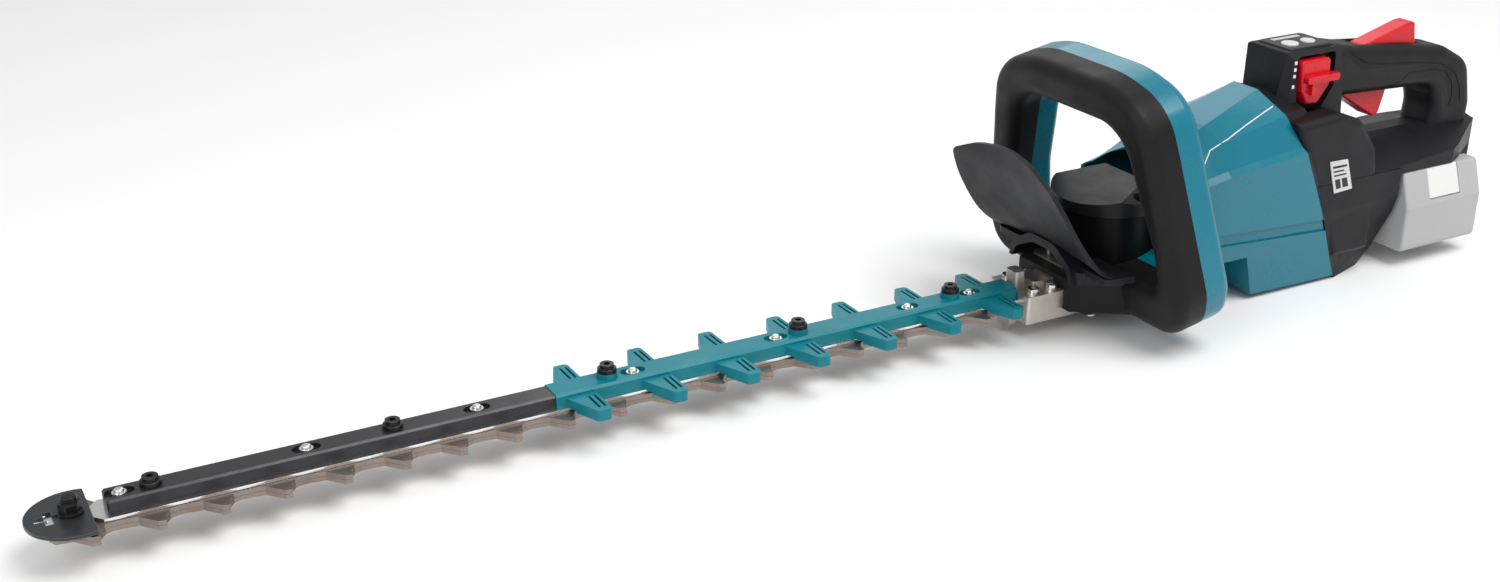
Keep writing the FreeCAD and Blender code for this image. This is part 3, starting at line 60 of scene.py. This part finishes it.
class Shader:
    """A principled material with small helpers for building its node tree."""

    def __init__(self, name, color, roughness, metallic=0.0, specular=0.5):
        self.material = bpy.data.materials.new(name)
        self.material.use_nodes = True
        self.tree = self.material.node_tree
        self.bsdf = self.tree.nodes["Principled BSDF"]
        self.color = color
        self.bsdf.inputs["Base Color"].default_value = (*color, 1)
        self.bsdf.inputs["Roughness"].default_value = roughness
        self.bsdf.inputs["Metallic"].default_value = metallic
        self.bsdf.inputs["Specular IOR Level"].default_value = specular
        self.height = None
        self.position = self.node("ShaderNodeTexCoord").outputs["Object"]

    def link(self, source, target):
        """Joins an output to an input."""
        self.tree.links.new(source, target)

    def node(self, kind, **settings):
        """A new node with its settings."""
        made = self.tree.nodes.new(kind)
        for key, value in settings.items():
            setattr(made, key, value)
        return made

    def stretched(self, scale):
        """The object position, scaled by axis, for grain that runs one way."""
        mapping = self.node("ShaderNodeMapping")
        mapping.inputs["Scale"].default_value = scale
        self.link(self.position, mapping.inputs["Vector"])
        return mapping.outputs["Vector"]

    def noise(self, scale, detail=4.0, roughness=0.5, vector=None):
        """Soft clouds, from 0 to 1."""
        made = self.node("ShaderNodeTexNoise")
        made.inputs["Scale"].default_value = scale
        made.inputs["Detail"].default_value = detail
        made.inputs["Roughness"].default_value = roughness
        self.link(vector or self.position, made.inputs["Vector"])
        return made.outputs["Fac"]

    def cells(self, scale):
        """A pebbled pattern: the distance to the nearest cell's centre."""
        made = self.node("ShaderNodeTexVoronoi", feature="F1")
        made.inputs["Scale"].default_value = scale
        self.link(self.position, made.inputs["Vector"])
        return made.outputs["Distance"]

    def ramp(self, value, low, high, start, end):
        """Maps a value from one range to another, held at the ends."""
        made = self.node("ShaderNodeMapRange")
        for name, number in (("From Min", low), ("From Max", high), ("To Min", start),
                             ("To Max", end)):
            made.inputs[name].default_value = number
        self.link(value, made.inputs["Value"])
        return made.outputs["Result"]

    def product(self, first, second):
        """Two patterns multiplied."""
        made = self.node("ShaderNodeMath", operation="MULTIPLY")
        self.link(first, made.inputs[0])
        self.link(second, made.inputs[1])
        return made.outputs["Value"]

    def tint(self, factor, other):
        """Blends the colour towards another where the factor is high."""
        mix = self.node("ShaderNodeMix", data_type="RGBA")
        self.link(factor, mix.inputs["Factor"])
        mix.inputs["B"].default_value = (*other, 1)
        mix.inputs["A"].default_value = (*self.color, 1)
        source = self.bsdf.inputs["Base Color"].links
        if source:
            self.link(source[0].from_socket, mix.inputs["A"])
        self.link(mix.outputs["Result"], self.bsdf.inputs["Base Color"])

    def patches(self, pattern, low, high, amount, other):
        """Blends in another colour, from none where the pattern is low to an amount."""
        self.tint(self.ramp(pattern, low, high, 0, amount), other)

    def gloss(self, factor, low, high):
        """Roughness that varies with a factor."""
        self.link(self.ramp(factor, 0.3, 0.7, low, high), self.bsdf.inputs["Roughness"])

    def bump(self, height, strength, distance):
        """Fine relief, laid over any relief that is already there."""
        made = self.node("ShaderNodeBump")
        made.inputs["Strength"].default_value = strength
        made.inputs["Distance"].default_value = distance
        self.link(height, made.inputs["Height"])
        if self.height:
            self.link(self.height, made.inputs["Normal"])
        self.height = made.outputs["Normal"]
        self.link(self.height, self.bsdf.inputs["Normal"])

    def worn_edges(self, color, amount):
        """Paler, slightly scuffed colour along the edges, where a rounded normal differs."""
        geometry = self.node("ShaderNodeNewGeometry")
        rounded = self.node("ShaderNodeBevel", samples=4)
        rounded.inputs["Radius"].default_value = SCUFF_RADIUS
        agreement = self.node("ShaderNodeVectorMath", operation="DOT_PRODUCT")
        self.link(geometry.outputs["Normal"], agreement.inputs[0])
        self.link(rounded.outputs["Normal"], agreement.inputs[1])
        sharp = self.ramp(agreement.outputs["Value"], 0.99, 0.8, 0, amount)
        gaps = self.ramp(self.noise(160), 0.35, 0.65, 0.3, 1)
        self.tint(self.product(sharp, gaps), color)


# ------------------------------------------------------------------ kinds of finish

def moulded(name, color, roughness, grain=0.25, grain_scale=1400, shade=0.25, coat=0.0,
            wear=0.35, specular=0.4):
    """Moulded plastic: fine spark-eroded grain, faint flow marks and scuffed edges."""
    shader = Shader(name, color, roughness, specular=specular)
    flow = shader.noise(14, detail=5, roughness=0.6)
    shader.patches(flow, 0.35, 0.75, shade, shifted(color, 1.5, 0.004))
    dust = shader.noise(420, detail=3, roughness=0.7)
    shader.patches(dust, 0.62, 0.85, 0.16, shifted(color, 0.8, 0.05))
    shader.worn_edges(shifted(color, 1.8, 0.03), wear)
    smudge = shader.noise(38, detail=4, roughness=0.65)
    shader.gloss(smudge, max(roughness - 0.07, 0.05), roughness + 0.08)
    shader.bump(shader.cells(grain_scale), grain, 0.12 * MM)
    shader.bump(shader.noise(90, detail=2), 0.06, 0.6 * MM)
    if coat:
        shader.bsdf.inputs["Coat Weight"].default_value = coat
        shader.bsdf.inputs["Coat Roughness"].default_value = COAT_ROUGHNESS
    return shader.material


def elastomer(name, color):
    """Soft grip rubber: matt, with a little sheen, a fine pebble and paler patches."""
    shader = Shader(name, color, 0.55, specular=0.2)
    cloud = shader.noise(22, detail=5, roughness=0.6)
    shader.patches(cloud, 0.35, 0.75, 0.4, shifted(color, 1.5, 0.003))
    shader.worn_edges(shifted(color, 1.7, 0.012), 0.4)
    shader.gloss(shader.noise(55), 0.42, 0.58)
    shader.bump(shader.cells(1100), 0.35, 0.15 * MM)
    shader.bump(shader.noise(300, detail=3), 0.12, 0.2 * MM)
    shader.bsdf.inputs["Sheen Weight"].default_value = RUBBER_SHEEN
    return shader.material


def ground_steel(name, color, roughness, scale=(8, 900, 900), stain=None):
    """Steel with grinding lines along one axis, stains and paler edges."""
    shader = Shader(name, color, roughness, metallic=1.0)
    lines = shader.noise(1, detail=3, roughness=0.7, vector=shader.stretched(scale))
    blotch = shader.noise(45, detail=5, roughness=0.65)
    shader.patches(lines, 0.35, 0.7, 0.35, shifted(color, 0.72))
    shader.patches(blotch, 0.5, 0.8, 0.5, stain or shifted(color, 0.8))
    shader.gloss(blotch, roughness - 0.06, roughness + 0.14)
    shader.bump(lines, 0.25, 0.1 * MM)
    shader.worn_edges(shifted(color, 1.4), 0.5)
    return shader.material


def cast_metal(name, color, roughness):
    """Cast or rough metal: a sandy skin, darker patches and faint brown stains."""
    shader = Shader(name, color, roughness, metallic=0.9)
    cloud = shader.noise(60, detail=6, roughness=0.7)
    shader.patches(cloud, 0.4, 0.75, 0.45, shifted(color, 0.62))
    shader.patches(shader.noise(12, detail=3), 0.4, 0.7, 0.3, CASTING_STAIN)
    shader.gloss(shader.noise(110), roughness - 0.08, roughness + 0.12)
    shader.bump(shader.noise(700, detail=5, roughness=0.7), 0.5, 0.25 * MM)
    shader.bump(shader.noise(45, detail=2), 0.2, 0.8 * MM)
    shader.worn_edges(shifted(color, 1.3), 0.5)
    return shader.material


def lacquer(name, color, roughness, metallic=0.0):
    """Painted or blackened steel: orange peel, specks and rubbed edges."""
    shader = Shader(name, color, roughness, metallic=metallic)
    specks = shader.noise(180, roughness=0.7)
    shader.patches(specks, 0.55, 0.8, 0.3, shifted(color, 1.6, 0.02))
    shader.worn_edges(SCUFF_COLOR, 0.35)
    shader.gloss(shader.noise(60), roughness - 0.08, roughness + 0.1)
    shader.bump(shader.noise(520, detail=2), 0.14, 0.2 * MM)
    return shader.material


def plated(name, color):
    """Bright zinc plate with a soft bloom."""
    shader = Shader(name, color, 0.26, metallic=1.0)
    shader.patches(shader.noise(130, detail=5, roughness=0.7), 0.42, 0.72, 0.5, ZINC_BLOOM)
    shader.gloss(shader.noise(90), 0.18, 0.42)
    shader.bump(shader.noise(600, detail=3), 0.1, 0.1 * MM)
    return shader.material


# ------------------------------------------------------------------ materials of the part

FINISHES = {
    "blade_steel": (ground_steel, dict(color=(0.3, 0.25, 0.22), roughness=0.38,
                                       stain=(0.13, 0.095, 0.075))),
    "bright_steel": (ground_steel, dict(color=(0.82, 0.82, 0.82), roughness=0.22)),
    "gear_steel": (ground_steel, dict(color=(0.4, 0.4, 0.42), roughness=0.3,
                                      scale=(300, 300, 20))),
    "black_bar": (moulded, dict(color=(0.017, 0.017, 0.02), roughness=0.34, grain=0.2,
                                grain_scale=1600)),
    "guard_teal": (moulded, dict(color=(0.0, 0.16, 0.2), roughness=0.42, grain=0.3,
                                 grain_scale=1500, specular=0.3)),
    "zinc": (plated, dict(color=(0.8, 0.8, 0.8))),
    "black_steel": (lacquer, dict(color=(0.012, 0.012, 0.013), roughness=0.32, metallic=0.6)),
    "dark_plate": (lacquer, dict(color=(0.035, 0.04, 0.045), roughness=0.36, metallic=0.5)),
    "cast_aluminium": (cast_metal, dict(color=(0.66, 0.61, 0.56), roughness=0.38)),
    "black_plastic": (moulded, dict(color=(0.009, 0.009, 0.0105), roughness=0.42, grain=0.3,
                                    grain_scale=1200, specular=0.28)),
    "motor_black": (moulded, dict(color=(0.005, 0.005, 0.006), roughness=0.42, grain=0.12,
                                  grain_scale=1500, specular=0.14)),
    "motor_iron": (cast_metal, dict(color=(0.2, 0.18, 0.16), roughness=0.5)),
    "soft_black": (elastomer, dict(color=(0.006, 0.0056, 0.006))),
    "teal_plastic": (moulded, dict(color=(0.0, 0.15, 0.215), roughness=0.24, grain=0.05,
                                   grain_scale=900, coat=0.2, shade=0.12, wear=0.2)),
    "guard_black": (moulded, dict(color=(0.009, 0.009, 0.0115), roughness=0.48, grain=0.35,
                                  grain_scale=1300, specular=0.28)),
    "rear_black": (moulded, dict(color=(0.007, 0.007, 0.0085), roughness=0.46, grain=0.4,
                                 grain_scale=1100, specular=0.26)),
    "panel_grey": (moulded, dict(color=(0.02, 0.02, 0.023), roughness=0.38, grain=0.2,
                                 grain_scale=1300, specular=0.3)),
    "lens": (moulded, dict(color=(0.5, 0.52, 0.52), roughness=0.12, grain=0.02,
                           grain_scale=900, coat=0.6)),
    "board_green": (moulded, dict(color=(0.02, 0.12, 0.05), roughness=0.3, grain=0.1,
                                  grain_scale=900)),
    "red_plastic": (moulded, dict(color=(0.56, 0.004, 0.012), roughness=0.3, grain=0.05,
                                  grain_scale=900, coat=0.1, shade=0.1, wear=0.1,
                                  specular=0.3)),
    "button_grey": (moulded, dict(color=(0.55, 0.55, 0.55), roughness=0.3, grain=0.1,
                                  grain_scale=1200)),
    "pack_grey": (moulded, dict(color=(0.4, 0.4, 0.405), roughness=0.45, grain=0.25,
                                grain_scale=1200, shade=0.1)),
    "pack_white": (moulded, dict(color=(0.7, 0.7, 0.68), roughness=0.38, grain=0.1,
                                 grain_scale=1200, shade=0.05)),
}
MATERIALS = {name: kind(name, **settings) for name, (kind, settings) in FINISHES.items()}


# ------------------------------------------------------------------ dressing the CAD nodes

SHARP_ANGLE = math.radians(28)
EDGE_RADII = {
    0.6 * MM: ("guide_bar", "tooth_guard", "tip_plate", "gear_case", "motor_cover", "hand_guard",
               "control_panel", "trigger", "lock_off_lever", "swivel_lock_lever",
               "front_switch_bar", "battery_button", "case_cover", "bar_studs", "tip_bolt",
               "clamp_screws"),
    1 * MM: ("front_housing_left", "front_housing_right", "rear_housing_left",
             "rear_housing_right", "battery_case", "front_handle", "front_handle_back"),
    0.8 * MM: ("upper_blade", "lower_blade"),
}


def dress_frame():
    """Gives every CAD node the finish of its slot, and many a small radius on sharp edges."""
    slots = {part["node"]: part["material_slot"] for part in frame["record"]["subparts"]}
    for name, item in NODES.items():
        item.data.materials.clear()
        item.data.materials.append(MATERIALS[slots[name]])
    for radius, names in EDGE_RADII.items():
        for name in names:
            bevel = NODES[name].modifiers.new("edge_radius", "BEVEL")
            bevel.width = radius
            bevel.segments = 1 if "blade" in name else 2
            bevel.limit_method = "ANGLE"
            bevel.angle_limit = SHARP_ANGLE


# ------------------------------------------------------------------ helpers for detail pieces
# Outlines are (X, Z) points and levels are Y, in mm: X runs to the tip, Y to the left, Z up.

RAY_START = 200
STEPS_PER_STRETCH = 6


def finish_piece(name, data, body, slot):
    """Makes the object of a piece, with its finish, on the body that it moves with."""
    data.materials.append(MATERIALS[slot])
    piece = bpy.data.objects.new(name, data)
    bpy.context.collection.objects.link(piece)
    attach(piece, body)


def slab_piece(name, body, slot, corners, levels):
    """A thin plate on a side face: an outline, between two levels."""
    mesh = bmesh.new()
    rings = [[mesh.verts.new(Vector((x, level, z)) * MM) for x, z in corners]
             for level in levels]
    for ring in rings:
        mesh.faces.new(ring)
    for index in range(len(corners)):
        after = (index + 1) % len(corners)
        mesh.faces.new((rings[0][index], rings[0][after], rings[1][after], rings[1][index]))
    bmesh.ops.recalc_face_normals(mesh, faces=mesh.faces)
    data = bpy.data.meshes.new(name)
    mesh.to_mesh(data)
    mesh.free()
    finish_piece(name, data, body, slot)


def surface_y(names, x, z, side):
    """The outermost Y of some CAD nodes at (X, Z), seen from one side, or None."""
    found = None
    for name in names:
        item = NODES[name]
        inverse = item.matrix_world.inverted()
        start = inverse @ Vector((x * MM, side * RAY_START * MM, z * MM))
        heading = inverse.to_3x3() @ Vector((0, -side, 0))
        hit, place, _, _ = item.ray_cast(start, heading)
        if hit:
            y = (item.matrix_world @ place).y / MM
            found = y if found is None or y * side > found * side else found
    return found


def line_piece(name, body, slot, names, points, side, radius):
    """A thin round line laid on the side of some CAD nodes, through some points."""
    steps = []
    for (x0, z0), (x1, z1) in zip(points, points[1:]):
        for step in range(STEPS_PER_STRETCH):
            share = step / STEPS_PER_STRETCH
            steps.append((x0 + (x1 - x0) * share, z0 + (z1 - z0) * share))
    steps.append(points[-1])
    path = [(x, surface_y(names, x, z, side), z) for x, z in steps]
    path = [point for point in path if point[1] is not None]
    data = bpy.data.curves.new(name, "CURVE")
    data.dimensions = "3D"
    data.bevel_depth = radius * MM
    data.bevel_resolution = 2
    spline = data.splines.new("POLY")
    spline.points.add(len(path) - 1)
    for target, point in zip(spline.points, path):
        target.co = (*(Vector(point) * MM), 1)
    finish_piece(name, data, body, slot)


# ------------------------------------------------------------------ plate, marks and lines

PLATE = ((-361, 100.5), (-379, 100), (-388, 75.5), (-369.5, 74.5))
PLATE_LEVELS = (48.9, 50)
BAR_LEVELS = (49.8, 50.1)
# Each bar's top, low, start and end, as shares of the plate's height and width.
RATING_BARS = ((0.15, 0.22, 0.1, 0.9), (0.3, 0.35, 0.1, 0.7), (0.43, 0.48, 0.1, 0.8),
               (0.58, 0.88, 0.12, 0.4), (0.58, 0.88, 0.5, 0.8))


def on_plate(u, v):
    """A point of the rating plate, from 0 to 1 across and down."""
    top = [PLATE[0][i] + (PLATE[1][i] - PLATE[0][i]) * u for i in (0, 1)]
    low = [PLATE[3][i] + (PLATE[2][i] - PLATE[3][i]) * u for i in (0, 1)]
    return top[0] + (low[0] - top[0]) * v, top[1] + (low[1] - top[1]) * v


def rating_plate():
    """A pale plate on the left of the rear handle, with plain dark bars in place of text."""
    slab_piece("rating_plate", "rear_handle", "button_grey", PLATE, PLATE_LEVELS)
    for number, (top, low, start, end) in enumerate(RATING_BARS, start=1):
        corners = [on_plate(start, top), on_plate(end, top), on_plate(end, low),
                   on_plate(start, low)]
        slab_piece("rating_bar_%d" % number, "rear_handle", "panel_grey", corners, BAR_LEVELS)


MARK_HEIGHTS = (172.5, 167.5, 162.5, 154.5)
MARK_LEVELS = (23.3, 23.75)
MARK_FRONT = -338.9
MARK_WIDTH = 2.3
MARK_HALF_HEIGHT = 1.3
MARK_LEAN = 0.2


def index_marks():
    """White marks beside the lock lever, one for each position of the handle."""
    top_rear = MARK_FRONT - MARK_WIDTH
    for number, z in enumerate(MARK_HEIGHTS, start=1):
        top, low = z + MARK_HALF_HEIGHT, z - MARK_HALF_HEIGHT
        corners = ((MARK_FRONT, top), (top_rear, top), (top_rear - MARK_LEAN, low),
                   (MARK_FRONT - MARK_LEAN, low))
        slab_piece("index_mark_%d" % number, "rear_handle", "pack_white", corners, MARK_LEVELS)


GRIP_NODES = ("rear_housing_left", "rear_housing_right", "grip_skin")
SKIN_LINE = ((-402, 172), (-408, 168), (-420, 161), (-438, 157.5), (-480, 153), (-506, 148.5),
             (-523, 140), (-531, 128), (-535, 114))
PALM_LINE = ((-453, 138), (-464.4, 141), (-470, 146), (-499.3, 145), (-512.4, 141.5),
             (-521, 132), (-524.5, 120.4), (-521.5, 112))
SKIN_LINE_RADIUS = 0.45
PALM_LINE_RADIUS = 0.4


def grip_lines():
    """Dark lines where the soft skin and the palm insert meet the grip, on both sides."""
    for side, tag in SIDES:
        line_piece("skin_line_" + tag, "rear_handle", "motor_black", GRIP_NODES, SKIN_LINE,
                   side, SKIN_LINE_RADIUS)
        line_piece("palm_line_" + tag, "rear_handle", "motor_black", GRIP_NODES, PALM_LINE,
                   side, PALM_LINE_RADIUS)


HOUSING_NODES = ("front_housing_left", "front_housing_right")
HOUSING_STRIPE = ((-240, 109), (-252, 123), (-259, 126), (-318, 144))
STRIPE_RADIUS = 0.5


def housing_stripe():
    """The thin pale line along the upper side of the front housing."""
    for side, tag in SIDES:
        line_piece("housing_stripe_" + tag, "housing", "pack_white", HOUSING_NODES,
                   HOUSING_STRIPE, side, STRIPE_RADIUS)


# ------------------------------------------------------------------ studio and camera
# Places are in metres, lamp widths in metres and lamp powers in watts.

FLOOR_WIDTH = 30
FLOOR_COLOR = (0.86, 0.86, 0.86)
FLOOR_CLOUD = (0.83, 0.83, 0.84)
SKY_COLOR = (1, 1, 1, 1)
SKY_STRENGTH = 0.55
LAMPS = (("key_light", (-0.5, 1.1, 2.3), 1.5, 50), ("fill_light", (1.9, 0.9, 1.5), 1.2, 18),
         ("back_light", (-1.2, -1.9, 1.7), 1.6, 10))
LAMP_TARGET = (-0.1, 0, 0.08)


def paper_floor():
    """A pale paper floor with faint clouds."""
    bpy.ops.mesh.primitive_plane_add(size=FLOOR_WIDTH, location=(0, 0, 0))
    floor = bpy.context.object
    floor.name = "studio_floor"
    shader = Shader("floor_paper", FLOOR_COLOR, 0.75)
    shader.patches(shader.noise(3, detail=3), 0.4, 0.7, 0.2, FLOOR_CLOUD)
    floor.data.materials.append(shader.material)


def white_sky():
    """An even white light from all round."""
    world = bpy.data.worlds.new("studio")
    bpy.context.scene.world = world
    world.use_nodes = True
    background = world.node_tree.nodes["Background"]
    background.inputs["Color"].default_value = SKY_COLOR
    background.inputs["Strength"].default_value = SKY_STRENGTH


def lamps():
    """Square lamps that all face the part."""
    for name, place, width, power in LAMPS:
        data = bpy.data.lights.new(name, "AREA")
        data.size = width
        data.energy = power
        lamp = bpy.data.objects.new(name, data)
        lamp.location = place
        aim = Vector(LAMP_TARGET) - Vector(place)
        lamp.rotation_euler = aim.to_track_quat("-Z", "Y").to_euler()
        bpy.context.collection.objects.link(lamp)


CAMERA_PLACE = (0.6085, 0.8989, 0.5168)
CAMERA_ANGLES = (60.714, 23.233, 0.176)
CAMERA_LENS = 41.44
SENSOR_WIDTH = 36


def photo_camera():
    """The camera at the reference view: azimuth and elevation of its back vector, and roll."""
    azimuth, elevation, roll = (math.radians(angle) for angle in CAMERA_ANGLES)
    back = Vector((math.cos(elevation) * math.cos(azimuth),
                   math.cos(elevation) * math.sin(azimuth), math.sin(elevation)))
    right = Vector((0, 0, 1)).cross(back).normalized()
    up = back.cross(right)
    turned_right = right * math.cos(roll) + up * math.sin(roll)
    turned_up = up * math.cos(roll) - right * math.sin(roll)
    data = bpy.data.cameras.new("photo_camera")
    data.lens = CAMERA_LENS
    data.sensor_width = SENSOR_WIDTH
    camera = bpy.data.objects.new("photo_camera", data)
    basis = Matrix((turned_right, turned_up, back)).transposed().to_4x4()
    camera.matrix_world = Matrix.Translation(CAMERA_PLACE) @ basis
    bpy.context.collection.objects.link(camera)
    bpy.context.scene.camera = camera


dress_frame()
rating_plate()
index_marks()
grip_lines()
housing_stripe()
paper_floor()
white_sky()
lamps()
photo_camera()
bpy.context.scene.view_settings.view_transform = "Standard"
